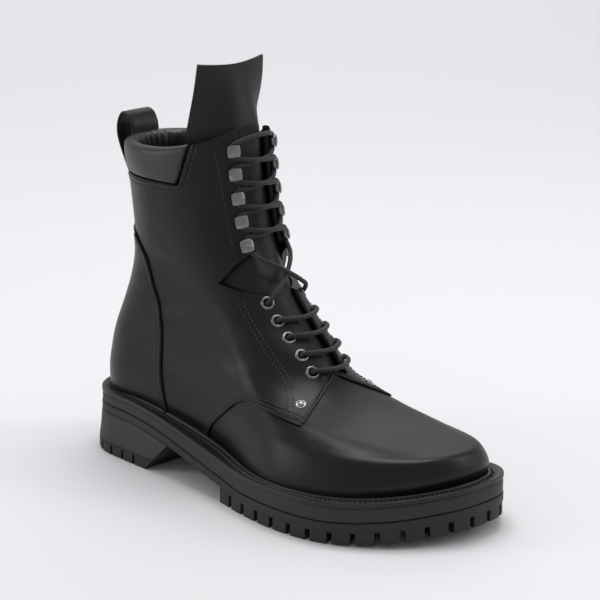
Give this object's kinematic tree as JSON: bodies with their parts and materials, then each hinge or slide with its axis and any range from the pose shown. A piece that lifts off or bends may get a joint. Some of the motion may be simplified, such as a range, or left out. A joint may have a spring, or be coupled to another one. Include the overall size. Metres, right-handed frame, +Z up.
{
  "type": "combat boot",
  "caption": "Tall lace-up leather combat boot with lug sole, stitched welt, padded collar, standing tongue, speed hooks and an inner side zip; right foot.",
  "frame": {"origin": "under the middle of the boot's footprint, on the floor", "axes": "+X to the toe, +Y to the inner (big toe) side, +Z up"},
  "size_m": [0.3142, 0.1266, 0.268],
  "materials": {
    "sole_rubber": "satin moulded rubber",
    "welt_rubber": "satin moulded rubber",
    "insole_leather": "matt lining leather",
    "leather": "smooth, semi-gloss box leather",
    "soft_leather": "soft, satin nappa leather",
    "zip_tape": "woven tape",
    "bright_metal": "polished nickel",
    "dark_metal": "worn gunmetal",
    "cord": "waxed round lace"
  },
  "bodies": {
    "boot": {"outsole": "sole_rubber", "heel": "sole_rubber", "midsole": "sole_rubber", "welt": "welt_rubber", "insole": "insole_leather", "upper": "leather", "counter": "leather", "pull_loop": "leather", "collar_pad": "soft_leather", "tongue": "soft_leather", "zip_tape": "zip_tape", "zip_teeth": "bright_metal", "zip_slider": "bright_metal", "eyelet_outer_1": "bright_metal", "eyelet_outer_2": "bright_metal", "eyelet_outer_3": "bright_metal", "eyelet_outer_4": "bright_metal", "eyelet_outer_5": "bright_metal", "eyelet_inner_1": "bright_metal", "eyelet_inner_2": "bright_metal", "eyelet_inner_3": "bright_metal", "eyelet_inner_4": "bright_metal", "eyelet_inner_5": "bright_metal", "rivet_outer": "bright_metal", "rivet_inner": "bright_metal", "hook_outer_1": "dark_metal", "hook_outer_2": "dark_metal", "hook_outer_3": "dark_metal", "hook_outer_4": "dark_metal", "hook_outer_5": "dark_metal", "hook_inner_1": "dark_metal", "hook_inner_2": "dark_metal", "hook_inner_3": "dark_metal", "hook_inner_4": "dark_metal", "hook_inner_5": "dark_metal", "lace_bar_1": "cord", "lace_bar_2": "cord", "lace_bar_3": "cord", "lace_bar_4": "cord", "lace_cross_1": "cord", "lace_cross_2": "cord", "lace_cross_3": "cord", "lace_cross_4": "cord", "lace_cross_5": "cord", "lace_top": "cord"},
    "zip_pull": {"zip_pull": "bright_metal"}
  },
  "joints": [
    {"name": "pull_hinge", "type": "hinge", "parent": "boot", "child": "zip_pull", "pos_m": [-0.08917, 0.04884, 0.20473], "axis": [0.9954, 0.0622, 0.0731], "range_deg": [0, 150]}
  ]
}
